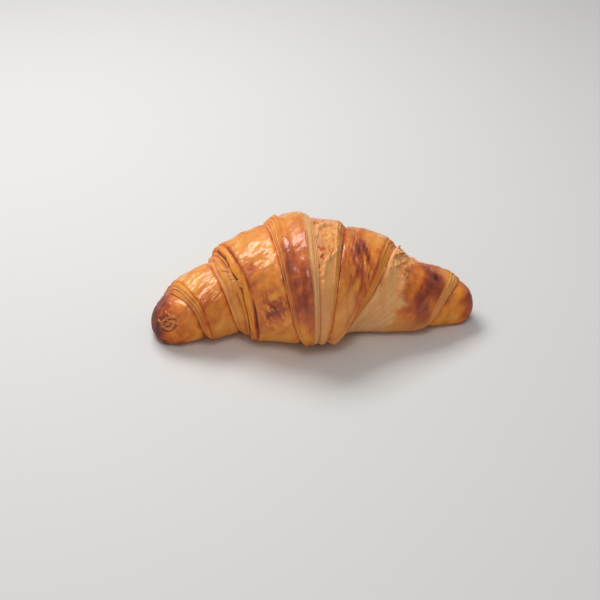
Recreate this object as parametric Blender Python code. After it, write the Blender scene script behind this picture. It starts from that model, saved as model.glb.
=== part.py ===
# A baked butter croissant, one solid body, for Blender 4.5. Metres, +Z up.
#
# The body is a flat grid rolled round the long axis. Its rows follow the edges of the
# dough wraps, so each edge is a helix: after one turn a row meets the row one wrap
# further out. The wraps step down from the tongue in the middle to the two tips.
# +X runs along the croissant, -Y is the front, where the tongue ends.

import bpy
import bmesh
import numpy as np

MM = 0.001

# Outline of the smooth body, in mm: place along X, front depth, back depth, height.
STATIONS = [
    (-84, 8.0, 9.0, 15.0),
    (-76, 12.0, 13.0, 21.0),
    (-60, 15.5, 22.0, 32.0),
    (-40, 16.0, 31.0, 42.5),
    (-20, 24.5, 38.5, 53.5),
    (-6, 34.0, 41.0, 57.5),
    (8, 31.5, 39.5, 53.5),
    (20, 21.5, 36.5, 49.5),
    (40, 17.5, 29.0, 41.0),
    (56, 16.0, 21.5, 32.0),
    (76, 9.5, 14.0, 23.0),
    (86, 8.5, 11.0, 18.0),
]

TIPS = (-83.0, 86.0)  # where the body ends along X, mm
TIP_ROUND = 9.0  # length over which a tip rounds off, mm
SECTION_POWER = 2.3  # 2 is an ellipse, more is squarer
CENTRE_SHARE = 0.482  # height of the section's centre as a share of the whole height
BASE_BLEND = 1.2  # how softly the belly meets the flat base, mm

# Angles round the section, in degrees from the middle of the underside:
# 90 is the front, 180 the top, 270 the back.
TURN = [0, 50, 110, 160, 210, 285, 360]

# Where each wrap edge runs at those angles, mm along X, from the middle outwards.
# An edge starts where the one before it ends, one turn later. The last runs off the tip.
TONGUE_LINE = [-3, -4, -8, -11.5, -14, -10, -3]
LEFT_EDGES = [
    [-3, -8.5, -15.8, -19, -22, -30, -36],
    [-36, -38.5, -44.5, -49, -52.5, -53.5, -55],
    [-55, -55.5, -61, -68, -74.5, -82, -92],
]
RIGHT_EDGES = [
    [-3, 0, -0.8, 0.5, 2.5, 4, 5],
    [5, 4.8, 8, 13.5, 20.5, 19, 13],
    [13, 12.5, 30, 39, 48, 53, 56],
    [56, 60, 69, 76, 80.5, 85, 92],
]

# How far the surface drops at each of those edges, mm, at the same angles.
NO_DROP = [0, 0, 0, 0, 0, 0, 1.0]
LEFT_DROPS = [
    [1.0, 2.0, 3.0, 3.8, 3.8, 2.6, 1.0],
    [1.0, 3.5, 4.0, 4.5, 5.0, 4.0, 1.0],
    [1.0, 1.5, 2.0, 2.0, 2.0, 1.5, 1.0],
]
RIGHT_DROPS = [
    [1.0, 1.0, 1.0, 1.0, 1.5, 2.0, 1.0],
    [1.0, 1.0, 1.5, 2.2, 1.8, 1.4, 1.0],
    [1.0, 3.5, 4.0, 4.6, 5.0, 3.5, 1.0],
    [1.0, 1.2, 1.4, 1.0, 0.9, 0.9, 1.0],
]

# How much of each drop is a slope beyond the edge, mm, on top of the wrap.
LEFT_RAMPS = [1.0, 0.5, 0.3]
RIGHT_RAMPS = [0.5, 0.5, 4.5, 0.3]
RAMP_SHARE = 0.16  # how far a slope reaches, as a share of the wrap's width

PUFF = 0.055  # how far a wrap swells between its edges, as a share of its width
ROWS = [0, 0.03, 0.10, 0.22, 0.38, 0.55, 0.72, 0.86, 0.95]  # shares of a wrap's width
COLUMNS = 48  # faces round the section

CRUST_COLOUR = (0.50, 0.18, 0.03, 1.0)
CRUST_ROUGHNESS = 0.42


def clear_scene():
    for thing in list(bpy.data.objects):
        bpy.data.objects.remove(thing, do_unlink=True)


def through(xs, ys, at):
    """A smooth curve through the points (xs, ys), read at the values in at."""
    xs = np.asarray(xs, float)
    ys = np.asarray(ys, float)
    slopes = np.gradient(ys, xs)
    i = np.clip(np.searchsorted(xs, at) - 1, 0, len(xs) - 2)
    width = xs[i + 1] - xs[i]
    t = np.clip((at - xs[i]) / width, 0, 1)
    from_start = (2 * t**3 - 3 * t**2 + 1) * ys[i] + (t**3 - 2 * t**2 + t) * width * slopes[i]
    from_end = (3 * t**2 - 2 * t**3) * ys[i + 1] + (t**3 - t**2) * width * slopes[i + 1]
    return from_start + from_end


def power_share(w):
    return np.sign(w) * np.abs(w) ** (2 / SECTION_POWER)


def body_point(along, turn, rise):
    """The point at a distance along the body and an angle round it, raised by rise."""
    straight = np.where(along < 0, -TIPS[0], TIPS[1]) - TIP_ROUND
    bend = np.clip((np.abs(along) - straight) / TIP_ROUND, 0, np.pi / 2)
    x = np.sign(along) * (np.minimum(np.abs(along), straight) + TIP_ROUND * np.sin(bend))
    places, front, back, height = zip(*STATIONS)
    front = through(places, front, x)
    back = through(places, back, x)
    height = through(places, height, x)
    side = power_share(np.sin(turn))
    up = -power_share(np.cos(turn))
    spread = np.cos(bend)
    centre = height * CENTRE_SHARE
    y = (back - front) / 2 - (back + front) / 2 * spread * side
    z = centre + (height - centre) * spread * up
    reach = np.hypot(side, up)
    rise = rise * spread
    x = x + rise * np.sign(along) * np.sin(bend)
    y = y - rise * np.cos(bend) * side / reach
    z = z + rise * np.cos(bend) * up / reach
    blended = (z + BASE_BLEND) ** 2 / (4 * BASE_BLEND)
    z = np.where(z >= BASE_BLEND, z, np.where(z <= -BASE_BLEND, 0, blended))
    return x, y, z


def wrap_rise(share, width, drop_in, drop_out, ramp):
    """Height of a wrap over the smooth body: low at its inner edge, high at its lip."""
    slope = -drop_in / 2 + (drop_in + drop_out) / 2 * share
    has_edge = np.minimum(drop_in, 1)
    across = share * has_edge + (1 + share) / 2 * (1 - has_edge)
    swell = PUFF * width * np.sin(np.pi * across) ** 0.7
    groove = -0.8 * has_edge * np.exp(-share / 0.03)
    return slope + swell + groove + ramp * np.exp(-((share / RAMP_SHARE) ** 2))


def side_rows(edges, drops, ramps, tip):
    """Rows of one side, from the tongue's line outwards: places and rises at each turn."""
    tip_along = tip + np.sign(tip) * TIP_ROUND * (np.pi / 2 - 1)
    turns = np.linspace(0, 360, COLUMNS + 1)
    lines = [through(TURN, line, turns) for line in [TONGUE_LINE, *edges]]
    lines.append(np.full(COLUMNS + 1, tip_along))
    lines = [np.clip(line, -abs(tip_along), abs(tip_along)) for line in lines]
    depths = [through(TURN, drop, turns) for drop in [NO_DROP, *drops]]
    depths.append(np.full(COLUMNS + 1, drops[0][0]))
    over_top = np.sin(np.radians(turns) / 2) ** 2
    for k, ramp in enumerate([0, *ramps]):
        width = np.abs(lines[k + 1] - lines[k])
        for share in ROWS:
            along = lines[k] + (lines[k + 1] - lines[k]) * share
            yield along, wrap_rise(share, width, depths[k], depths[k + 1], ramp * over_top)
    yield lines[-1], np.zeros(COLUMNS + 1)


def make_croissant():
    left = list(side_rows(LEFT_EDGES, LEFT_DROPS, LEFT_RAMPS, TIPS[0]))
    right = list(side_rows(RIGHT_EDGES, RIGHT_DROPS, RIGHT_RAMPS, TIPS[1]))
    rows = left[::-1] + right[1:]
    turns = np.radians(np.linspace(0, 360, COLUMNS + 1))

    mesh = bpy.data.meshes.new("croissant")
    bm = bmesh.new()
    bmesh.ops.create_grid(bm, x_segments=len(rows) - 1, y_segments=COLUMNS, size=1)
    bm.verts.ensure_lookup_table()
    for r, (along, rise) in enumerate(rows):
        points = np.stack(body_point(along, turns, rise), 1) * MM
        for c, point in enumerate(points):
            bm.verts[c * len(rows) + r].co = point
    bmesh.ops.remove_doubles(bm, verts=bm.verts, dist=0.02 * MM)
    bmesh.ops.dissolve_degenerate(bm, edges=bm.edges, dist=0.01 * MM)
    bmesh.ops.triangulate(bm, faces=bm.faces)
    bmesh.ops.recalc_face_normals(bm, faces=bm.faces)
    bm.to_mesh(mesh)
    bm.free()

    body = bpy.data.objects.new("croissant", mesh)
    bpy.context.collection.objects.link(body)
    return body


def centre_on_base(body):
    """Moves the mesh so that the origin is the middle of its base."""
    points = np.array([v.co for v in body.data.vertices])
    low = points.min(0)
    high = points.max(0)
    offset = np.array([(low[0] + high[0]) / 2, (low[1] + high[1]) / 2, low[2]])
    for vertex, point in zip(body.data.vertices, points - offset):
        vertex.co = point


def add_crust_material(body):
    crust = bpy.data.materials.new("baked_crust")
    crust.use_nodes = True
    shader = crust.node_tree.nodes["Principled BSDF"]
    shader.inputs["Base Color"].default_value = CRUST_COLOUR
    shader.inputs["Roughness"].default_value = CRUST_ROUGHNESS
    shader.inputs["Metallic"].default_value = 0.0
    body.data.materials.append(crust)


clear_scene()
croissant = make_croissant()
centre_on_base(croissant)
add_crust_material(croissant)
croissant.data.shade_smooth()
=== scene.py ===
import math
import bpy
import numpy as np
from mathutils import Matrix, Vector, noise


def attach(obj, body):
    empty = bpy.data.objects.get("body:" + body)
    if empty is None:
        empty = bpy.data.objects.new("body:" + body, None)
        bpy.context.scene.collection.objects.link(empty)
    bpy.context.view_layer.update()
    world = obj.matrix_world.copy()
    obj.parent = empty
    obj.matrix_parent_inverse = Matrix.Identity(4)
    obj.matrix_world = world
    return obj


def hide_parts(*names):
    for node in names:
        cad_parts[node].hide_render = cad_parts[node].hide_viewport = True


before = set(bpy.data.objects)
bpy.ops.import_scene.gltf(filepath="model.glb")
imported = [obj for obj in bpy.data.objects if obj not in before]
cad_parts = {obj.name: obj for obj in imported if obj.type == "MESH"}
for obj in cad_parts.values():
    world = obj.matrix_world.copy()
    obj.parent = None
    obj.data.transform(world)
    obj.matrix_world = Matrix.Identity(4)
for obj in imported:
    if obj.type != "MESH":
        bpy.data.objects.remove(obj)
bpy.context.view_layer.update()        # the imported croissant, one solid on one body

mm = 0.001
bpy.ops.object.select_all(action='DESELECT')


def hexToLinear(code):
    parts = [int(code[i:i + 2], 16) / 255 for i in (1, 3, 5)]
    return [c / 12.92 if c <= 0.04045 else ((c + 0.055) / 1.055) ** 2.4 for c in parts] + [1.0]


def through(xs, ys, at):        # smooth curve through a few points, read at the values in at
    xs, ys = np.asarray(xs, float), np.asarray(ys, float)
    slopes = np.gradient(ys, xs)
    i = np.clip(np.searchsorted(xs, at) - 1, 0, len(xs) - 2)
    width = xs[i + 1] - xs[i]
    t = np.clip((at - xs[i]) / width, 0, 1)
    fromStart = (2 * t**3 - 3 * t**2 + 1) * ys[i] + (t**3 - 2 * t**2 + t) * width * slopes[i]
    fromEnd = (3 * t**2 - 2 * t**3) * ys[i + 1] + (t**3 - t**2) * width * slopes[i + 1]
    return fromStart + fromEnd


def smoothStep(low, high, value):
    t = np.clip((value - low) / (high - low), 0, 1)
    return t * t * (3 - 2 * t)


def grain(points, size, seed, octaves):        # soft noise, about -1 to 1, lumps of the given size in mm
    shift = Vector((17.3 * seed, -9.1 * seed, 5.7 * seed))
    return np.array([noise.fractal(Vector(p) / size + shift, 0.9, 2.0, octaves) for p in points])


# Turns are degrees round the section: 0 is the middle of the underside, 90 the front,
# 180 the top, 270 the back. Every list of seven belongs to these turns.
turnStops = [0, 50, 110, 160, 210, 285, 360]

croissant = {
    "tips": (-83.0, 86.0),        # where the body ends along X, mm
    "tipRound": 9.0,
    "sectionPower": 2.3,          # 2 is an ellipse, more is squarer
    "centreShare": 0.482,         # height of the section's centre, as a share of the whole height
    "baseBlend": 1.2,             # how softly the belly meets the flat base, mm
    "columns": 250,               # faces round the section
    "columnSpread": ([0, 0.07, 0.72, 1], [0, 40, 235, 360]),        # more of them on the front and the top
    # place along X, front depth, back depth, height, all mm
    "stations": [
        (-84, 8.0, 9.0, 15.0),
        (-76, 12.0, 13.0, 21.0),
        (-60, 15.5, 22.0, 32.0),
        (-40, 16.0, 31.0, 42.5),
        (-20, 24.5, 38.5, 53.5),
        (-6, 34.0, 41.0, 57.5),
        (8, 31.5, 39.5, 53.5),
        (20, 21.5, 36.5, 49.5),
        (40, 17.5, 29.0, 41.0),
        (56, 16.0, 21.5, 32.0),
        (76, 9.5, 14.0, 23.0),
        (86, 8.5, 11.0, 18.0),
    ],
    "tongueLine": [-3, -4, -8, -11.5, -14, -10, -3],        # middle of the tongue, mm along X
}

wrapShape = {
    "bandRows": 28,               # rows on a wrap's smooth skin
    "rowCrowding": 1.25,          # above 1, the rows crowd at the wrap's foot
    "puff": 0.055,                # swell of a wrap, as a share of its width
    "puffPower": 0.7,
    "rampShare": 0.16,            # how far a slope reaches, as a share of the wrap's width
    "footDepth": 0.9,             # the groove at a wrap's foot, and how far it reaches, mm
    "footReach": 0.9,
    "footShade": 0.8,             # how far the painted shade, a dark line in that groove, reaches, mm
    "lip": (0.86, 0.97, 1.0),     # where the skin's lip starts, is highest and ends, as shares of the skin
    "lipRise": 0.35,              # mm
    "lipFall": 0.45,
    "leafRows": (0.0, 0.45, 0.9, 0.97),        # where the rows lie on each leaf, as shares of its width
    "leafMost": 0.62,             # most of a wrap's width that its leaves take
    "leafWander": 0.28,           # how far a leaf's edge strays, as a share of an even leaf
    "leafCurl": 0.24,             # how high a leaf curls, mm, and how much that varies
    "leafCurlVaries": 0.14,
    "leafTuck": -0.4,             # the last row of a leaf tucks under by this share of the curl
    "fullCurlWidth": 8.0,         # narrower stacks of leaves curl less, mm
    "grooveDepth": 0.3,
    "grooveVaries": 0.6,
    "leafFootBare": 0.7,          # how bare a leaf's foot is, as a share of the leaf's own bareness
    "leafFootKeeps": 0.15,        # how much of its own drop a leaf holds back at its foot
    "firstFootFall": 0.35,        # the first leaf's foot drops by only this share
}

# Each wrap edge: the path of its foot along X, how far the skin drops there, how much of that is a
# slope beyond it and how wide its stack of thin leaves is, all mm. For each leaf: its share of that
# width, its share of the drop, how much bare dough it shows and how deep its foot's groove is, painted
# darker too as painted shade.
leftEdges = [
    {        # the tongue's left edge
        "path": [-3, -8.5, -15.8, -19, -22, -30, -36],
        "drop": [1.0, 2.0, 3.0, 3.8, 3.8, 2.6, 1.0],
        "ramp": 1.0,
        "leafWidth": [2, 2.4, 2.6, 3.0, 4.8, 4.0, 2],
        "leaves": [(0.34, 0.20, 0.05, 0.2), (0.26, 0.25, 0.40, 0.5),
                   (0.22, 0.25, 0.15, 0.3), (0.18, 0.30, 0.45, 0.4)],
    },
    {        # the left shoulder
        "path": [-36, -38.5, -44.5, -49, -52.5, -53.5, -55],
        "drop": [1.0, 3.5, 4.0, 4.5, 5.0, 4.0, 1.0],
        "ramp": 0.5,
        "leafWidth": [2, 9.0, 12.0, 10.0, 7.0, 5.5, 2],
        "leaves": [(0.34, 0.12, 0.00, 1.2), (0.12, 0.45, 0.00, 1.8),
                   (0.36, 0.15, 0.25, 0.7), (0.18, 0.28, 0.60, 0.2)],
    },
    {        # the left horn
        "path": [-55, -55.5, -61, -68, -74.5, -82, -92],
        "drop": [1.0, 1.5, 2.0, 2.0, 2.0, 1.5, 1.0],
        "ramp": 0.3,
        "leafWidth": [2, 3.5, 4.5, 4.5, 4.5, 3.5, 2],
        "leaves": [(0.42, 0.15, 0.00, 0.6), (0.20, 0.35, 0.55, 0.9),
                   (0.22, 0.25, 0.00, 0.8), (0.16, 0.25, 0.35, 0.2)],
    },
]
rightEdges = [
    {        # the tongue's right edge
        "path": [-3, 0.0, -0.8, 0.5, 2.5, 4, 5],
        "drop": [1.0, 1.0, 1.0, 1.0, 1.5, 2.0, 1.0],
        "ramp": 0.5,
        "leafWidth": [2, 3.4, 3.0, 5.2, 5.6, 4.0, 2],
        "leaves": [(0.14, 0.15, 0.50, 0.5), (0.46, 0.20, 1.00, 0.0),
                   (0.22, 0.30, 0.80, 0.1), (0.18, 0.35, 1.00, 0.2)],
    },
    {        # the wrap with the torn patch
        "path": [5, 4.8, 8, 13.5, 20.5, 19, 13],
        "drop": [1.0, 1.0, 1.5, 2.2, 1.8, 1.4, 1.0],
        "ramp": 0.5,
        "leafWidth": [2, 1.8, 1.8, 2.4, 3.0, 3.0, 2],
        "leaves": [(0.40, 0.20, 0.25, 0.1), (0.20, 0.30, 0.10, 0.5),
                   (0.24, 0.25, 0.35, 0.2), (0.16, 0.25, 0.10, 0.3)],
    },
    {        # the right shoulder
        "path": [13, 12.5, 30, 39, 48, 53, 56],
        "drop": [1.0, 3.5, 4.0, 4.6, 5.0, 3.5, 1.0],
        "ramp": 4.5,
        "leafWidth": [2, 3.4, 4.2, 4.2, 4.2, 3.0, 2],
        "leaves": [(0.36, 0.10, 0.00, 0.7), (0.30, 0.25, 0.10, 0.4),
                   (0.20, 0.15, 0.35, 0.1), (0.14, 0.50, 0.75, 0.1)],
    },
    {        # the right horn
        "path": [56, 60, 69, 76, 80.5, 85, 92],
        "drop": [1.0, 1.2, 1.4, 1.0, 0.9, 0.9, 1.0],
        "ramp": 0.3,
        "leafWidth": [2, 4.0, 5.0, 5.0, 4.5, 3.5, 2],
        "leaves": [(0.30, 0.15, 0.25, 0.1), (0.32, 0.30, 0.65, 0.2),
                   (0.20, 0.25, 0.25, 0.3), (0.18, 0.30, 0.55, 0.1)],
    },
]
tongueStart = {"path": croissant["tongueLine"], "drop": [0, 0, 0, 0, 0, 0, 1.0], "ramp": 0}
tipEnd = {"leafWidth": [2] * 7, "leaves": [(0.25, 0.25, 0.1, 0.3)] * 4}

columns = croissant["columns"]
turnsDeg = np.interp(np.linspace(0, 1, columns + 1), *croissant["columnSpread"])
turns = np.radians(turnsDeg)
over = np.sin(turns / 2)        # 0 at the seam under the base, 1 on top
offSeam = np.minimum(over * 2, 1)


def powerShare(w):
    return np.sign(w) * np.abs(w) ** (2 / croissant["sectionPower"])


def bodyPoint(along, turn, rise):        # a point of the smooth body, lifted off it by rise
    tipRound = croissant["tipRound"]
    straight = np.where(along < 0, -croissant["tips"][0], croissant["tips"][1]) - tipRound
    bend = np.clip((np.abs(along) - straight) / tipRound, 0, np.pi / 2)
    x = np.sign(along) * (np.minimum(np.abs(along), straight) + tipRound * np.sin(bend))
    places, front, back, height = zip(*croissant["stations"])
    front, back, height = (through(places, sizes, x) for sizes in (front, back, height))
    side = powerShare(np.sin(turn))
    up = -powerShare(np.cos(turn))
    spread = np.cos(bend)
    centre = height * croissant["centreShare"]
    y = (back - front) / 2 - (back + front) / 2 * spread * side
    z = centre + (height - centre) * spread * up
    reach = np.hypot(side, up)
    rise = rise * spread
    x = x + rise * np.sign(along) * np.sin(bend)
    y = y - rise * np.cos(bend) * side / reach
    z = z + rise * np.cos(bend) * up / reach
    soft = croissant["baseBlend"]
    blended = (z + soft) ** 2 / (4 * soft)
    z = np.where(z >= soft, z, np.where(z <= -soft, 0, blended))
    return np.stack([x, y, z], -1)


def atTurns(seven):
    return through(turnStops, seven, turnsDeg)


def wander(seed, knots):        # a slow random line round the section, still at the seam
    rng = np.random.default_rng(seed)
    line = through(np.linspace(0, 360, knots), rng.uniform(-1, 1, knots), turnsDeg)
    return line * offSeam


def bandSheet(inner, outer, dropIn, dropOut, ramp, edge, seed):
    # rows of one wrap, from the foot of the edge inside it to the foot of its own
    width = np.abs(outer - inner)
    side = np.sign((outer - inner)[columns // 2])
    leafZone = np.minimum(atTurns(edge["leafWidth"]), width * wrapShape["leafMost"])
    skin = width - leafZone
    hasEdge = np.minimum(dropIn, 1)
    none = np.zeros(columns + 1)
    leaves = edge["leaves"]
    even = 1 / len(leaves)        # the leaves are even at the seam, so that all wraps meet there
    shares = [even + (leaf[0] - even) * offSeam for leaf in leaves]
    falls = [even + (leaf[1] - even) * offSeam for leaf in leaves]
    stray = wrapShape["leafWander"] * even
    ends = [none + sum(shares[:i]) + stray * wander(seed + i, knots=18) for i in range(len(leaves) + 1)]
    ends[0] = none
    ends[-1] = none + 1
    sheet = {"along": [], "rise": [], "bare": [], "groove": [], "leaf": [], "fromEdge": []}

    def addRow(s, leafLift, bareHere, grooveShadeHere, leafHere):        # s is mm from the wrap's foot; the fourth value is painted shade for the groove there
        share = s / np.maximum(width, 1e-6)
        across = share * hasEdge + (1 + share) / 2 * (1 - hasEdge)
        arch = np.maximum(np.sin(np.pi * np.clip(across, 0, 1)), 0) ** wrapShape["puffPower"]
        swell = wrapShape["puff"] * width * arch
        slope = -dropIn / 2 + (dropIn + dropOut) / 2 * np.minimum(s / np.maximum(skin, 1e-6), 1)
        foot = -wrapShape["footDepth"] * hasEdge * np.exp(-s / wrapShape["footReach"])
        beyond = ramp * over**2 * np.exp(-((share / wrapShape["rampShare"]) ** 2))
        sheet["along"].append(inner + side * s)
        sheet["rise"].append(slope + swell + foot + beyond + leafLift)
        sheet["bare"].append(none + bareHere)
        sheet["groove"].append(none + grooveShadeHere)
        sheet["leaf"].append(none + leafHere)
        sheet["fromEdge"].append(s - width * leafHere)

    lipStart, lipTop, lipEnd = wrapShape["lip"]
    for r in range(wrapShape["bandRows"]):
        q = (r / wrapShape["bandRows"]) ** wrapShape["rowCrowding"]
        lip = wrapShape["lipRise"] * smoothStep(lipStart, lipTop, q)
        lip -= wrapShape["lipFall"] * smoothStep(lipTop, lipEnd, q)
        # painted shade: a dark line along the wrap's foot, fading out from it
        addRow(q * skin, lip * offSeam, 0.0, hasEdge * np.exp(-q * skin / wrapShape["footShade"]), 0.0)

    for i, (_, _, leafBare, leafGroove) in enumerate(leaves):
        fallen = none + sum(falls[:i + 1])
        strength = wrapShape["leafCurl"] + wrapShape["leafCurlVaries"] * wander(seed + 20 + i, knots=24)
        strength = strength * np.minimum(0.5 + leafZone / wrapShape["fullCurlWidth"], 1)
        for f in wrapShape["leafRows"]:
            s = skin + (ends[i] + (ends[i + 1] - ends[i]) * f) * leafZone
            curl = strength * (wrapShape["leafTuck"] if f == wrapShape["leafRows"][-1] else f**2)
            drop, groove = dropOut * fallen, none
            if f == 0:        # the leaf's foot, in the groove beside the leaf before it, sunk there and painted darker as painted shade
                groove = leafGroove * (1 + wrapShape["grooveVaries"] * wander(seed + 30 + i, knots=30))
                drop = dropOut * (fallen - falls[i] * wrapShape["leafFootKeeps"])
                drop = drop * (wrapShape["firstFootFall"] if i == 0 else 1)
            footBare = wrapShape["leafFootBare"]
            addRow(s, curl - wrapShape["grooveDepth"] * groove - drop,
                   leafBare * (footBare + (1 - footBare) * f) * offSeam, groove * offSeam, 1.0)
    return {key: np.array(rows) for key, rows in sheet.items()}


def sideSheet(edges, tip, seed):        # all the wraps of one side, from the tongue to the tip
    tipRound = croissant["tipRound"]
    tipAlong = tip + np.sign(tip) * tipRound * (np.pi / 2 - 1)
    inners = [tongueStart] + edges
    lines = [np.clip(atTurns(edge["path"]), -abs(tipAlong), abs(tipAlong)) for edge in inners]
    lines.append(np.full(columns + 1, tipAlong))
    drops = [atTurns(edge["drop"]) for edge in inners]
    drops.append(np.full(columns + 1, edges[0]["drop"][0]))
    parts = []
    for k, outerEdge in enumerate(edges + [tipEnd]):
        ramp = inners[k]["ramp"]
        part = bandSheet(lines[k], lines[k + 1], drops[k], drops[k + 1], ramp, outerEdge, seed + 50 * k)
        part["band"] = np.full(part["along"].shape, k)
        parts.append(part)
    lastRow = {"along": tipAlong, "band": len(edges)}
    parts.append({key: np.full((1, columns + 1), lastRow.get(key, 0)) for key in parts[0]})
    return {key: np.concatenate([part[key] for part in parts]) for key in parts[0]}


left = sideSheet(leftEdges, croissant["tips"][0], 100)
right = sideSheet(rightEdges, croissant["tips"][1], 900)
along, rise, bare, groove, leafZone, fromEdge, band = (
    np.concatenate([left[key][::-1], right[key][1:]])
    for key in ("along", "rise", "bare", "groove", "leaf", "fromEdge", "band"))
isRight = np.zeros_like(along)
isRight[len(left["along"]):] = 1
turn = np.broadcast_to(turns, along.shape)
turnDegrees = np.degrees(turn)        # both for every vertex
print("wraps laid out:", along.shape, "rows and columns")

smooth = bodyPoint(along, turn, np.zeros_like(along))
radius = np.interp(along, [-90, -60, -20, 0, 20, 60, 90], [9, 18, 29, 31, 28, 17, 9])        # about, mm
around = turn * radius
isSkin = 1 - leafZone
quiet = np.minimum(over * 1.6, 1)        # the relief fades out towards the seam


def onBand(right, number):        # 1 on one wrap: right or left of the tongue, counted from it
    return (isRight == right) * (band == number)


def spot(place, turnDeg, alongSize, aroundSize):        # 1 at a place on the skin, fading out round it
    gap = (along - place) / alongSize
    lap = (turn - math.radians(turnDeg)) * radius / aroundSize
    return np.exp(-(gap**2 + lap**2))


def crease(points, width):        # 1 on a line over the skin through points of (along, turn), mm wide
    best = np.full(along.shape, 1e9)
    for (a0, t0), (a1, t1) in zip(points, points[1:]):
        ua, ut = a1 - a0, np.radians(t1 - t0) * radius
        da, dt = along - a0, (turn - math.radians(t0)) * radius
        t = np.clip((da * ua + dt * ut) / (ua**2 + ut**2), 0, 1)
        best = np.minimum(best, (da - t * ua)**2 + (dt - t * ut)**2)
    return np.exp(-best / width**2)


def skinNoise(size, seed, octaves=2):
    return grain(smooth.reshape(-1, 3), size, seed, octaves).reshape(along.shape)


def streakNoise(width, length, lean, seed, octaves=2):        # noise drawn out round the section, leaning
    u = along * math.cos(lean) - around * math.sin(lean)
    v = along * math.sin(lean) + around * math.cos(lean)
    ownPlace = band * 7.7 + isRight * 3.1        # so that each wrap has its own streaks
    points = np.stack([u / width, v / length, ownPlace], -1).reshape(-1, 3)
    return grain(points, 1.0, seed, octaves).reshape(along.shape) * offSeam


def sharp(values):        # 1 on the thin lines where a noise crosses zero
    return np.exp(-((values / 0.16) ** 2))


# sizes and heights of the skin's relief, mm, and the lean of its lines, radians
skinRelief = {
    "lumpSize": 15, "lumpHeight": 0.75,
    "dimpleSize": 5, "dimpleHeight": 0.22,
    "grainSize": 2.0,
    "folds": (3.6, 26, 0.0), "foldHeight": 0.25,              # width, length and lean
    "wrinkles": (3.8, 13, 0.62), "wrinkleHeight": 0.62,
    "wrinklesBetweenMarks": 0.35, "wrinklesOnOtherWraps": 0.4,        # as shares of that height
    "strands": (2.3, 15, -0.10), "strandHeight": 0.5,
    "crumple": (2.6, 5, -0.6), "crumpleHeight": 0.9, "crackDepth": 0.5,
    "blisterSize": 2.6, "blisterHeight": 0.9,
    "layers": (2.6, 13, 0.10), "layerHeight": (0.22, 0.47),   # low down and high up
    "tornGrain": 0.35,
    "pitDepth": 2.1, "pitRimHeight": 0.5, "dentDepth": 0.9,
}
# places of the marks on the skin: along X in mm, turn in degrees, size along and round in mm
marks = {
    "tightShoulder": (-30, 160, 11, 22),
    "tightHorn": (-57, 160, 9, 18),
    "tightHornFront": (-58, 125, 8, 12),
    "shatter": (24, 148, 9, 26),
    "blisters": (-9.5, 157, 5.5, 6),
    "cracks": (-22, 95, 6, 9),
    "pit": (64.4, 159, 1.7, 1.9),
    "pitRim": (64.4, 159, 3.0, 3.2),
    "dent": (53, 192, 2.5, 5),
}


def mark(name):
    return spot(*marks[name])


lumps = skinNoise(skinRelief["lumpSize"], 1)
dimples = skinNoise(skinRelief["dimpleSize"], 2)
fineGrain = skinNoise(skinRelief["grainSize"], 5)
folds = streakNoise(*skinRelief["folds"], 3)
wrinkles = streakNoise(*skinRelief["wrinkles"], 4, octaves=3)
strands = streakNoise(*skinRelief["strands"], 6, octaves=3)
rise = rise + quiet * (skinRelief["lumpHeight"] * lumps + skinRelief["dimpleHeight"] * dimples
                       + skinRelief["foldHeight"] * folds * isSkin)
print("lumps and folds done")

between = skinRelief["wrinklesBetweenMarks"]
tight = mark("tightShoulder") + mark("tightHorn") + mark("tightHornFront")
tight = between + (1 - between) * np.clip(tight, 0, 1)
wrinkled = onBand(0, 1) + onBand(0, 2) + skinRelief["wrinklesOnOtherWraps"]
rise += skinRelief["wrinkleHeight"] * wrinkles * isSkin * tight * quiet * wrinkled
shatter = onBand(1, 2) * isSkin * mark("shatter")        # skin pulled into strands
rise += skinRelief["strandHeight"] * strands * shatter
blisters = np.maximum(skinNoise(skinRelief["blisterSize"], 8, octaves=1), 0)
rise += skinRelief["blisterHeight"] * blisters * mark("blisters") * isSkin
crumple = streakNoise(*skinRelief["crumple"], 9, octaves=3)
cracks = onBand(0, 1) * isSkin * mark("cracks")
rise += (skinRelief["crumpleHeight"] * crumple - skinRelief["crackDepth"] * sharp(crumple)) * cracks

# the torn patch right of the tongue: rough above its curled edge, smooth below it
tornPatch = {
    "floor": ([1, 3.8, 7, 11, 14, 18], [128, 146, 152, 158, 166, 176]),        # its lower edge, mm and turn
    "top": (186, 191),            # turns where it fades out
    "belowEnds": 185,             # the turn past which the skin round it isn't bare
    "level": 0.5,                 # mm
    "poreSize": 2.6,
    "poreDepth": 0.7,
    "grain": 0.35,
    "curledEdge": [(13.6, 168), (13.2, 163), (10.5, 157), (7, 151.5), (3.8, 146), (1.8, 132)],
    "curlWidth": 0.9, "curlHeight": 1.0,
    "archRim": [(2.2, 176), (3.6, 184), (7.5, 190), (12, 190), (15.5, 184)],
    "rimWidth": 1.1, "rimHeight": 1.2,
    "underRimTurn": 4, "underRimWidth": 0.7, "underRimDepth": 0.8,
}
onPatchWrap = onBand(1, 1)
patchFloor = np.interp(along, *tornPatch["floor"])
patch = onPatchWrap * isSkin * smoothStep(0, 3, turnDegrees - patchFloor)
patch = patch * (1 - smoothStep(*tornPatch["top"], turnDegrees))
pores = smoothStep(0.1, 0.5, skinNoise(tornPatch["poreSize"], 11))
rise += patch * (tornPatch["level"] - tornPatch["poreDepth"] * pores + tornPatch["grain"] * fineGrain)
curl = crease(tornPatch["curledEdge"], tornPatch["curlWidth"]) * onPatchWrap
rim = crease(tornPatch["archRim"], tornPatch["rimWidth"]) * onPatchWrap
# a crease just under the rim, sunk here and painted darker further down as painted shade
underArch = [(a, t - tornPatch["underRimTurn"]) for a, t in tornPatch["archRim"]]
underRim = crease(underArch, tornPatch["underRimWidth"]) * onPatchWrap
rise += tornPatch["curlHeight"] * curl + tornPatch["rimHeight"] * rim - tornPatch["underRimDepth"] * underRim

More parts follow.
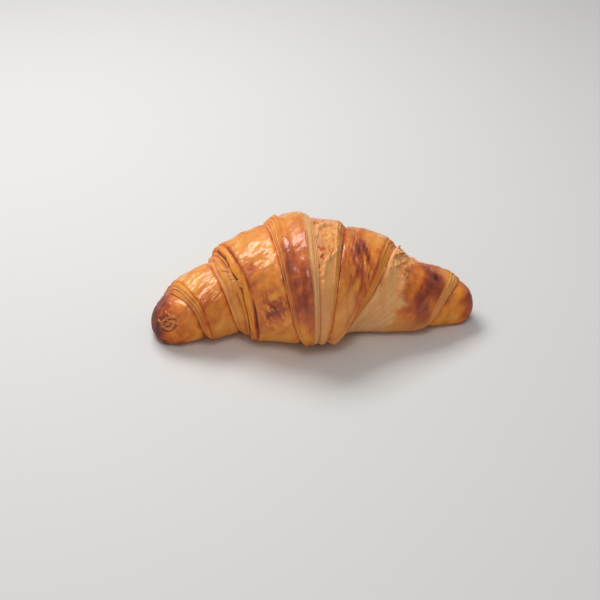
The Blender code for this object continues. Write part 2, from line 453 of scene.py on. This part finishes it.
# the right shoulder's foot, where the skin tore and the pale dough shows
tornFoot = {
    "end": [36, 37, 43.5, 48.7, 54, 58, 60],        # where the skin starts again, mm along X
    "ragged": (1.9, 1.0),         # coarse and fine, mm
    "turns": (30, 55, 225, 260),        # fades in between the first two, out between the last two
    "depth": 0.55,
    "lipWidth": 1.0, "lipHeight": 0.55, "lipVaries": 0.5,
}
coarse, fine = tornFoot["ragged"]
tornEnd = atTurns(tornFoot["end"]) + coarse * wander(31, knots=40) + fine * wander(32, knots=90)
fadeIn, fadeOut = tornFoot["turns"][:2], tornFoot["turns"][2:]
tornTurns = smoothStep(*fadeIn, turnsDeg) * (1 - smoothStep(*fadeOut, turnsDeg))
torn = onBand(1, 3) * smoothStep(-0.6, 0.6, tornEnd - along) * tornTurns
tornLip = np.exp(-(((along - tornEnd - 0.9) / tornFoot["lipWidth"]) ** 2))
tornLip = onBand(1, 3) * tornLip * tornTurns
lipHeight = tornFoot["lipHeight"] + tornFoot["lipVaries"] * wander(33, knots=50)
rise += lipHeight * tornLip - tornFoot["depth"] * torn
layers = streakNoise(*skinRelief["layers"], 12, octaves=3)
highUp = smoothStep(100, 165, turnDegrees)
layerLow, layerHigh = skinRelief["layerHeight"]
rise += torn * ((layerLow + (layerHigh - layerLow) * highUp) * layers
                + skinRelief["tornGrain"] * fineGrain * highUp)

pitRise = skinRelief["pitRimHeight"] * mark("pitRim") - skinRelief["pitDepth"] * mark("pit")
rise += onBand(1, 3) * (pitRise - skinRelief["dentDepth"] * mark("dent"))

# the end of the roll on the left tip, a small rough spiral
rollEnd = {
    "along": -73.8,
    "turn": 107,
    "pitch": 2.6,                 # mm between its turns
    "reach": 5.2,                 # mm
    "unevenness": (1.1, 0.5),     # coarse and fine, radians
    "depth": 0.6,
    "grain": 0.35,
    "roughTip": (-68, -76),       # where the tip's rough skin starts and is full, mm along X
}
gap = along - rollEnd["along"]
lap = (turn - math.radians(rollEnd["turn"])) * radius
fromCentre = np.hypot(gap, lap)
coarse, fine = rollEnd["unevenness"]
winding = 2 * math.pi * fromCentre / rollEnd["pitch"] + np.arctan2(lap, gap)
winding = winding + coarse * dimples + fine * fineGrain
endFace = (1 - smoothStep(0.7, 1.1, fromCentre / rollEnd["reach"])) * (1 - isRight)
coil = smoothStep(0.2, 0.9, np.sin(winding)) * endFace
roughTip = (1 - isRight) * smoothStep(*rollEnd["roughTip"], along)
rise += rollEnd["grain"] * (endFace + roughTip) * fineGrain - rollEnd["depth"] * coil
print("wrinkles, strands, torn dough and pits done")


# first how brown it is, 0 pale gold to 1 nearly black: mostly what the oven did, with painted shade in the
# grooves, the pit, under the torn patch's rim and low on the right tip
browningAndShade = {
    # the third amount on the next line is painted shade, darkening the grooves at the feet of wraps and
    # leaves
    "even": 0.40, "leaves": -0.01, "grooveShade": 0.30,
    "lumps": 0.12, "dimples": 0.07, "folds": 0.08, "wrinkles": 0.13,
    "strands": (0.26, 0.24),      # on the shattered skin: how brown, and how much that varies
    "cracks": (0.10, 0.30),
    # painted shade: the pit amount darkens inside the pit, the under-rim amount the crease under the torn
    # patch's rim
    "horn": 0.08, "pit": 0.5, "coil": 0.30, "underRim": 0.25,
    # painted shade: the last amount darkens the right tip towards its bottom
    "leftTip": 0.34, "leftHorn": 0.16, "rightTip": 0.10, "rightTipShadeBelow": 0.24,
    # where the tips and the left horn start to brown and where they are full, mm along X
    "leftTipReach": (-70, -82), "leftHornReach": (-64, -74), "rightTipReach": (74, 84),
}
# browner places, and paler ones below 0: along X in mm, turn, size along and round in mm, how much
brownMarks = {
    "tongueFront": (-10, 130, 12, 20, 0.36),
    "tongueLow": (-9, 106, 7, 9, 0.14),
    "tongueTop": (-11, 190, 12, 12, -0.12),
    "shatterTop": (37, 172, 7, 14, -0.12),
    "hornFront": (61, 138, 9, 13, 0.30),
    "hornLow": (57, 105, 10, 12, 0.24),
    "leftHornFront": (-56, 130, 7, 8, 0.20),
    "shoulderFront": (-33, 128, 5, 14, 0.22),
    "shoulderTop": (-34, 165, 9, 18, -0.10),
    "leftHornTop": (-60, 190, 12, 12, -0.08),
}


def brown(name):
    *place, amount = brownMarks[name]
    return amount * spot(*place)


height = np.clip(smooth[..., 2] / 55, 0, 1)        # 0 at the base, 1 near the top
rightTip = smoothStep(*browningAndShade["rightTipReach"], along)
leftTip = smoothStep(*browningAndShade["leftTipReach"], along)
toastAndShade = browningAndShade["even"] + browningAndShade["leaves"] * leafZone
toastAndShade += browningAndShade["lumps"] * lumps + browningAndShade["dimples"] * dimples
toastAndShade += browningAndShade["folds"] * folds + browningAndShade["wrinkles"] * wrinkles * isSkin
tongue = onBand(0, 0) + onBand(1, 0)
toastAndShade += tongue * (brown("tongueFront") + brown("tongueLow") + brown("tongueTop"))
base, varies = browningAndShade["strands"]
toastAndShade += shatter * (base - varies * strands) + onBand(1, 2) * brown("shatterTop")
hornSkin = onBand(1, 3) * (1 - torn) * isSkin
toastAndShade += hornSkin * (browningAndShade["horn"] + np.maximum(brown("hornFront"), brown("hornLow")))
base, varies = browningAndShade["cracks"]
# the pit term at the end is painted shade, darkening the inside of the pit
toastAndShade += cracks * (base - varies * (crumple - sharp(crumple))) + browningAndShade["pit"] * onBand(1, 3) * mark("pit")
toastAndShade += onBand(0, 2) * (brown("leftHornFront") * (0.7 - wrinkles) + brown("leftHornTop"))
toastAndShade += onBand(0, 1) * (brown("shoulderFront") * isSkin * (0.7 - 1.4 * wrinkles) + brown("shoulderTop"))
toastAndShade += browningAndShade["leftTip"] * leftTip * (1 - 0.7 * endFace)
toastAndShade += browningAndShade["leftHorn"] * (1 - isRight) * smoothStep(*browningAndShade["leftHornReach"], along)
# the second term is painted shade, darker towards the bottom of the right tip
toastAndShade += rightTip * (browningAndShade["rightTip"] + browningAndShade["rightTipShadeBelow"] * (1 - height))
# the last two terms are painted shade: in the grooves at the feet of wraps and leaves, and in the crease
# under the torn patch's rim
toastAndShade += browningAndShade["coil"] * coil + browningAndShade["grooveShade"] * groove + browningAndShade["underRim"] * underRim

# then where the dough is bare, 0 to 1, where the egg wash lies, and how streaky the skin is
bareDough = {
    "torn": 0.80, "tornHigh": -0.10, "tornLayers": 0.35, "tornDimples": 0.15, "tornLip": 0.35,
    "patch": 0.50, "patchPores": 0.50, "belowPatch": 0.50,
    "lowFront": 0.12, "lowFrontRight": 0.26,        # the right side has more
    "rim": 0.8, "curl": 0.35, "rollEnd": 0.20,
    "leavesLow": 0.75, "leavesHigh": 1.15,        # shares of a leaf's bareness at the base and on top
    "lowFrontTurns": (92, 66),
}
eggWash = {
    "height": (0.15, 0.5),        # where it starts and where it is full, as shares of the height
    "bareDulls": 0.6,             # how much of the gloss bare dough soaks up
}
streakiness = {"shatter": 0.95, "leaves": 0.55, "torn": 0.15}
leafShow = bareDough["leavesLow"] + (bareDough["leavesHigh"] - bareDough["leavesLow"]) * height
bare = bare * leafShow + bareDough["tornLip"] * tornLip
bare += torn * (bareDough["torn"] + bareDough["tornHigh"] * highUp
                + bareDough["tornLayers"] * layers + bareDough["tornDimples"] * dimples)
belowPatch = onPatchWrap * isSkin * (1 - patch) * (turnDegrees < tornPatch["belowEnds"])
bare += patch * (bareDough["patch"] - bareDough["patchPores"] * pores) + bareDough["belowPatch"] * belowPatch
lowFront = smoothStep(*bareDough["lowFrontTurns"], turnDegrees) * isSkin
paleWraps = onBand(0, 1) + onBand(0, 2) + onBand(1, 2) + onBand(1, 3)
bare += lowFront * (bareDough["lowFront"] + bareDough["lowFrontRight"] * isRight) * paleWraps
bare += bareDough["rim"] * rim + bareDough["curl"] * curl + bareDough["rollEnd"] * endFace * (1 - coil)
strand = streakiness["shatter"] * shatter + streakiness["leaves"] * leafZone + streakiness["torn"] * torn
strand = np.clip(strand, 0, 1) * offSeam
glaze = smoothStep(*eggWash["height"], height) * isSkin * (1 - torn) * (1 - patch)
glaze = glaze * (1 - eggWash["bareDulls"] * np.clip(bare, 0, 1))

skinPoints = bodyPoint(along, turn, rise)        # centred on the base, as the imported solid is
low, high = skinPoints.min((0, 1)), skinPoints.max((0, 1))
skinPoints = skinPoints - [(low[0] + high[0]) / 2, (low[1] + high[1]) / 2, low[2]]


def addAttribute(piece, name, values):        # one value, or one vector, for each vertex
    isVector = np.ndim(values) == 2
    layer = piece.data.attributes.new(name, 'FLOAT_VECTOR' if isVector else 'FLOAT', 'POINT')
    layer.data.foreach_set("vector" if isVector else "value", np.asarray(values, np.float32).ravel())


def rollSheet():        # a flat grid with the sheet's rows and columns, rolled into the croissant
    rowsCount = along.shape[0]
    bpy.ops.mesh.primitive_grid_add(x_subdivisions=rowsCount - 1, y_subdivisions=columns, size=1)
    piece = bpy.context.object
    piece.name = "croissantCrust"
    piece.data.vertices.foreach_set("co", (skinPoints * mm).transpose(1, 0, 2).ravel())
    # the first attribute holds the oven's browning and the painted shade together
    for name, values in (("toastAndShade", toastAndShade), ("bare", bare), ("glaze", glaze), ("strand", strand)):
        addAttribute(piece, name, np.clip(values, 0, 1).T.ravel())
    flow = np.stack([fromEdge, around, band * 10 + isRight * 5], -1).transpose(1, 0, 2) * mm
    addAttribute(piece, "flow", flow.reshape(-1, 3))
    bpy.ops.object.mode_set(mode='EDIT')
    bpy.ops.mesh.select_all(action='SELECT')
    bpy.ops.mesh.remove_doubles(threshold=0.02 * mm)
    bpy.ops.mesh.dissolve_degenerate(threshold=0.005 * mm)
    bpy.ops.mesh.quads_convert_to_tris()
    bpy.ops.mesh.normals_make_consistent(inside=False)
    bpy.ops.object.mode_set(mode='OBJECT')
    bpy.ops.object.shade_smooth()
    return piece


crust = rollSheet()
print("croissant rolled:", len(crust.data.polygons), "faces")

# thin leaves of skin that came loose: along (mm) and turn (degrees) of the line they lie on, how
# many, how far they scatter, their length in mm, which way the loose side points, how bare and brown
flakeLines = [
    {"path": [(44, 112), (48.5, 150), (50, 175), (53, 200)], "count": 12, "scatter": 0.6,
     "size": (3.0, 6.0), "towards": -1, "bare": 0.45, "toastAndShade": 0.42},
    {"path": [(42, 150), (46, 178), (49, 200)], "count": 9, "scatter": 1.8,
     "size": (3.0, 6.5), "towards": 1, "bare": 0.75, "toastAndShade": 0.35},
    {"path": [(32, 108), (36, 135), (40, 160)], "count": 5, "scatter": 1.2,
     "size": (3.5, 7.0), "towards": 1, "bare": 0.8, "toastAndShade": 0.3},
    {"path": [(4.5, 149), (8, 155), (13, 166)], "count": 5, "scatter": 0.5,
     "size": (2.2, 3.6), "towards": -1, "bare": 0.55, "toastAndShade": 0.3},
    {"path": [(-36.5, 110), (-41, 140), (-45.5, 178)], "count": 6, "scatter": 1.2,
     "size": (4.0, 8.0), "towards": -1, "bare": 0.35, "toastAndShade": 0.45},
    {"path": [(-76, 95), (-74, 118), (-76, 138)], "count": 4, "scatter": 1.4,
     "size": (2.0, 3.6), "towards": -1, "bare": 0.3, "toastAndShade": 0.6},
]
flakeShape = {
    "rows": 6,
    "columns": 4,
    "thickness": 0.28,            # mm
    "widthShare": 0.36,           # width as a share of the length
    "slant": 0.35,                # most it turns from the line round the section, radians
    "ragged": 0.22,               # as a share of the width
    "lift": 0.75,                 # how high the loose side curls, mm
    "sunk": 0.3,                  # how deep the held side sits in the skin, mm
    "glaze": 0.25,
    "strand": 0.6,
}


def surfaceAt(place, turnDeg):        # the skin's point there, with its directions along, round and out
    distance = (along - place) ** 2 + ((turn - math.radians(turnDeg)) * radius) ** 2
    i, j = np.unravel_index(np.argmin(distance), distance.shape)
    i, j = min(max(i, 3), along.shape[0] - 4), min(max(j, 3), columns - 3)
    alongWay = skinPoints[i + 3, j] - skinPoints[i - 3, j]
    roundWay = skinPoints[i, j + 3] - skinPoints[i, j - 3]
    alongWay = alongWay / np.linalg.norm(alongWay)
    roundWay = roundWay / np.linalg.norm(roundWay)
    outWay = np.cross(roundWay, alongWay)
    outWay = outWay / np.linalg.norm(outWay)
    middle = np.array([skinPoints[i, j][0], 0, 20])
    if np.dot(outWay, skinPoints[i, j] - middle) < 0:
        outWay = -outWay
    return skinPoints[i, j], alongWay, roundWay, outWay, radius[i, j]


def tornFlake(line, draw):        # one thin leaf, held along one side and curling up at the other
    share = draw.uniform(0, 1) * (len(line["path"]) - 1)
    k = min(int(share), len(line["path"]) - 2)
    start, end = np.array(line["path"][k], float), np.array(line["path"][k + 1], float)
    place = start + (end - start) * (share - k)
    point, alongWay, roundWay, outWay, bend = surfaceAt(place[0] + draw.normal(0, line["scatter"]), place[1])
    length = draw.uniform(*line["size"])
    width = length * flakeShape["widthShare"] * draw.uniform(0.7, 1.3)
    slant = draw.uniform(-flakeShape["slant"], flakeShape["slant"])
    longWay = roundWay * math.cos(slant) + alongWay * math.sin(slant)
    crossWay = (alongWay * math.cos(slant) - roundWay * math.sin(slant)) * line["towards"]
    rows = flakeShape["rows"]
    bpy.ops.mesh.primitive_grid_add(x_subdivisions=rows, y_subdivisions=flakeShape["columns"], size=1)
    piece = bpy.context.object
    widths = 0.45 + 0.55 * np.sin(np.pi * np.linspace(0.08, 0.92, rows + 1))
    widths = widths + draw.uniform(-flakeShape["ragged"], flakeShape["ragged"], rows + 1)
    places = []
    for vertex in piece.data.vertices:
        v, u = vertex.co.x, vertex.co.y + 0.5        # v runs along the flake, u from its held side
        reach = u * width * widths[int(round((v + 0.5) * rows))]
        lift = flakeShape["lift"] * u**2 * (1 + 0.5 * math.sin(3 * v + share)) - flakeShape["sunk"]
        lift -= (v * length) ** 2 / (2 * bend)
        vertex.co = (point + longWay * v * length + crossWay * reach + outWay * lift) * mm
        places.append(vertex.co[:])
    count = len(places)
    addAttribute(piece, "toastAndShade", [line["toastAndShade"] + draw.uniform(-0.1, 0.1)] * count)
    addAttribute(piece, "bare", [line["bare"]] * count)
    addAttribute(piece, "glaze", [flakeShape["glaze"]] * count)
    addAttribute(piece, "strand", [flakeShape["strand"]] * count)
    addAttribute(piece, "flow", np.array(places)[:, [0, 2, 1]])
    return piece


def looseFlakes():
    draw = np.random.default_rng(77)
    pieces = [tornFlake(line, draw) for line in flakeLines for _ in range(line["count"])]
    bpy.ops.object.select_all(action='DESELECT')
    for piece in pieces:
        piece.select_set(True)
    bpy.context.view_layer.objects.active = pieces[0]
    bpy.ops.object.join()
    flakes = bpy.context.object
    flakes.name = "looseFlakes"
    bpy.ops.object.mode_set(mode='EDIT')
    bpy.ops.mesh.select_all(action='SELECT')
    bpy.ops.mesh.normals_make_consistent(inside=False)
    bpy.ops.object.mode_set(mode='OBJECT')
    solid = flakes.modifiers.new("thickness", 'SOLIDIFY')
    solid.thickness = flakeShape["thickness"] * mm
    solid.offset = 0
    bpy.ops.object.modifier_apply(modifier=solid.name)
    bpy.ops.object.shade_smooth()
    return flakes


flakes = looseFlakes()
print("loose flakes:", len(flakes.data.polygons), "faces")


def addNode(tree, kind, settings=None, links=None):        # one node, its settings, and what feeds it
    node = tree.nodes.new(kind)
    for key, value in (settings or {}).items():
        if isinstance(key, int) or key in node.inputs:
            node.inputs[key].default_value = value
        else:
            setattr(node, key, value)
    for key, source in (links or {}).items():
        tree.links.new(source, node.inputs[key])
    return node


def remap(tree, source, toLow, toHigh, fromLow=0.0, fromHigh=1.0):        # a value from one range to another
    ends = {"From Min": fromLow, "From Max": fromHigh, "To Min": toLow, "To Max": toHigh}
    return addNode(tree, 'ShaderNodeMapRange', ends, {"Value": source}).outputs[0]


def calculate(tree, operation, first, second, third=None, clamp=False):        # sockets or numbers go in
    node = addNode(tree, 'ShaderNodeMath', {"operation": operation, "use_clamp": clamp})
    for i, value in enumerate((first, second, third)):
        if isinstance(value, (int, float)):
            node.inputs[i].default_value = value
        elif value is not None:
            tree.links.new(value, node.inputs[i])
    return node.outputs[0]


def noiseNode(tree, perMetre, detail, coordinates, roughness=0.5, distortion=0.0):
    settings = {"Scale": perMetre, "Detail": detail, "Roughness": roughness, "Distortion": distortion}
    return addNode(tree, 'ShaderNodeTexNoise', settings, {"Vector": coordinates}).outputs["Fac"]


def fillRamp(node, stops):
    elements = node.color_ramp.elements
    while len(elements) < len(stops):
        elements.new(0.5)
    for element, (place, code) in zip(elements, stops):
        element.position = place
        element.color = hexToLinear(code)


pastryFinish = {
    "toastStops": [(0.0, "#F6C77C"), (0.20, "#F2AA48"), (0.40, "#E98C2C"),
                   (0.58, "#CB621E"), (0.76, "#953A17"), (1.0, "#4C1F11")],
    "dough": "#F9C588",
    "doughShade": "#E09553",
    # how many to a metre: streaks are about 1 mm wide, blotches 6 mm, crinkles 3 mm, specks 0.7 mm
    "streaks": 900.0,
    "blotches": 170.0,
    "crinkles": 330.0,
    "specks": 1400.0,
    "streakStretch": 0.12,        # streaks are 1 / 0.12 times as long as they are wide
    "blotchShift": 0.065,         # how far blotches shift the browning
    "streakReach": (0.12, 0.95),        # how far streaks shift it, on smooth skin and on strands
    "roughness": (0.62, 0.36),    # without and with the egg wash
    "roughnessShift": (-0.08, 0.10),
    "coat": 0.5,
    "coatRoughness": 0.16,
    "bumpStrength": 0.5,
    "bumpHeight": 0.5,            # mm
}


def eggWashedPastry():
    # laminated dough baked under egg wash: the sugars brown unevenly and the wash dries to a thin gloss
    material = bpy.data.materials.new("eggWashedPastry")
    material.use_nodes = True
    tree = material.node_tree
    shader = tree.nodes["Principled BSDF"]
    finish = pastryFinish
    place = addNode(tree, 'ShaderNodeTexCoord').outputs["Object"]
    # the first of these holds the browning and the painted shade together
    toastAndShadeIn, bareIn, glazeIn, strandIn = (
        addNode(tree, 'ShaderNodeAttribute', {"attribute_name": name}).outputs["Fac"]
        for name in ("toastAndShade", "bare", "glaze", "strand"))
    flowIn = addNode(tree, 'ShaderNodeAttribute', {"attribute_name": "flow"}).outputs["Vector"]

    # the streaks follow the wraps
    stretch = {"Scale": (1.0, finish["streakStretch"], 1.0)}
    alongWraps = addNode(tree, 'ShaderNodeMapping', stretch, {"Vector": flowIn}).outputs[0]
    streaks = noiseNode(tree, finish["streaks"], 3.0, alongWraps, 0.6)
    blotches = noiseNode(tree, finish["blotches"], 4.0, place, 0.6)
    crinkles = noiseNode(tree, finish["crinkles"], 3.0, place, 0.55, 0.6)
    specks = noiseNode(tree, finish["specks"], 2.0, place)

    # colour: browned skin, darkened by painted shade in its grooves, pit and creases, and bare dough where
    # it tore
    blotchShift = remap(tree, blotches, -finish["blotchShift"], finish["blotchShift"], 0.3, 0.7)
    streakReach = remap(tree, strandIn, *finish["streakReach"])
    streakShift = calculate(tree, 'MULTIPLY', calculate(tree, 'SUBTRACT', streaks, 0.5), streakReach)
    shift = calculate(tree, 'ADD', blotchShift, streakShift)
    level = calculate(tree, 'ADD', toastAndShadeIn, shift, clamp=True)
    brownedAndShaded = addNode(tree, 'ShaderNodeValToRGB', {}, {"Fac": level})
    fillRamp(brownedAndShaded, finish["toastStops"])
    doughMix = remap(tree, streaks, 0, 1, 0.2, 0.75)
    dough = addNode(tree, 'ShaderNodeMix', {"data_type": 'RGBA'}, {"Factor": doughMix})
    dough.inputs[6].default_value = hexToLinear(finish["doughShade"])
    dough.inputs[7].default_value = hexToLinear(finish["dough"])
    sources = {"Factor": bareIn, 6: brownedAndShaded.outputs["Color"], 7: dough.outputs[2]}
    colour = addNode(tree, 'ShaderNodeMix', {"data_type": 'RGBA'}, sources)
    tree.links.new(colour.outputs[2], shader.inputs["Base Color"])

    # gloss: the dried egg wash
    roughness = remap(tree, glazeIn, *finish["roughness"])
    roughnessShift = remap(tree, blotches, *finish["roughnessShift"], 0.35, 0.65)
    roughness = calculate(tree, 'ADD', roughness, roughnessShift, clamp=True)
    tree.links.new(roughness, shader.inputs["Roughness"])
    coat = calculate(tree, 'MULTIPLY', glazeIn, finish["coat"], clamp=True)
    tree.links.new(coat, shader.inputs["Coat Weight"])
    shader.inputs["Coat Roughness"].default_value = finish["coatRoughness"]
    shader.inputs["Coat IOR"].default_value = 1.45
    shader.inputs["IOR"].default_value = 1.42
    shader.inputs["Subsurface Weight"].default_value = 0.08
    shader.inputs["Subsurface Radius"].default_value = (1.0, 0.5, 0.25)
    shader.inputs["Subsurface Scale"].default_value = 2 * mm

    # relief finer than the mesh: streaks, specks and crinkles
    lines = calculate(tree, 'MULTIPLY', streaks, remap(tree, strandIn, 0.5, 2.2))
    fine = calculate(tree, 'MULTIPLY_ADD', specks, 0.3, lines)
    surface = calculate(tree, 'MULTIPLY_ADD', crinkles, 1.1, fine)
    strength = {"Strength": finish["bumpStrength"], "Distance": finish["bumpHeight"] * mm}
    bump = addNode(tree, 'ShaderNodeBump', strength, {"Height": surface})
    tree.links.new(bump.outputs["Normal"], shader.inputs["Normal"])
    return material


pastry = eggWashedPastry()
for piece in (crust, flakes):
    piece.data.materials.clear()
    piece.data.materials.append(pastry)
    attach(piece, "root")
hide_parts("croissant")
print("crust finished")


studio = {
    "floor": "#D9D8D6", "floorSize": 3.0, "floorRoughness": 0.7,
    "air": "#FFFFFF", "airStrength": 0.30,
    # name, place and aim in metres, size in metres, watts
    "lamps": [
        ("overheadBox", (-0.22, 0.38, 0.66), (0, 0, 0), (0.5, 0.3), 4.5),
        ("topWindow", (-0.04, -0.34, 0.74), (0, 0, 0.02), (0.2, 0.26), 1.2),
        ("frontFill", (-0.4, -0.9, 0.5), (0, 0, 0.02), (0.6, 0.6), 0.7),
    ],
    # the camera looks at aim from distance, both mm, at these angles in degrees
    "aim": (-7.5, -4.0, 17.0), "azimuth": -8.0, "elevation": 34.0, "distance": 650.0, "roll": 1.4,
    "lens": 75.3,
}


def paintedFloor():        # smooth matt paint, which stays out of the way
    bpy.ops.mesh.primitive_plane_add(size=studio["floorSize"], location=(0, 0, 0))
    floor = bpy.context.object
    floor.name = "floor"
    material = bpy.data.materials.new("mattWhitePaint")
    material.use_nodes = True
    shader = material.node_tree.nodes["Principled BSDF"]
    shader.inputs["Base Color"].default_value = hexToLinear(studio["floor"])
    shader.inputs["Roughness"].default_value = studio["floorRoughness"]
    floor.data.materials.append(material)


def softBox(name, place, aim, size, watts):
    bpy.ops.object.light_add(type='AREA', location=place)
    lamp = bpy.context.object
    lamp.name = name
    lamp.data.shape = 'RECTANGLE'
    lamp.data.size, lamp.data.size_y = size
    lamp.data.energy = watts
    lamp.rotation_euler = (Vector(aim) - Vector(place)).to_track_quat('-Z', 'Y').to_euler()


def setCamera():
    az, el = math.radians(studio["azimuth"]), math.radians(studio["elevation"])
    back = Vector((math.sin(az) * math.cos(el), -math.cos(az) * math.cos(el), math.sin(el)))
    aim = Vector(studio["aim"]) * mm
    bpy.ops.object.camera_add(location=aim + back * studio["distance"] * mm)
    camera = bpy.context.object
    turnTo = back.to_track_quat('Z', 'Y').to_matrix().to_4x4()
    roll = math.radians(studio["roll"])
    camera.matrix_world = Matrix.Translation(camera.location) @ turnTo @ Matrix.Rotation(roll, 4, 'Z')
    camera.data.lens = studio["lens"]
    camera.data.sensor_width = 36.0
    bpy.context.scene.camera = camera


def fillAir():        # even light from all round
    world = bpy.data.worlds.new("studioAir")
    bpy.context.scene.world = world
    world.use_nodes = True
    background = world.node_tree.nodes["Background"]
    background.inputs["Color"].default_value = hexToLinear(studio["air"])
    background.inputs["Strength"].default_value = studio["airStrength"]


paintedFloor()
for lamp in studio["lamps"]:
    softBox(*lamp)
setCamera()
fillAir()
bpy.context.scene.view_settings.view_transform = 'Standard'
print("studio set")
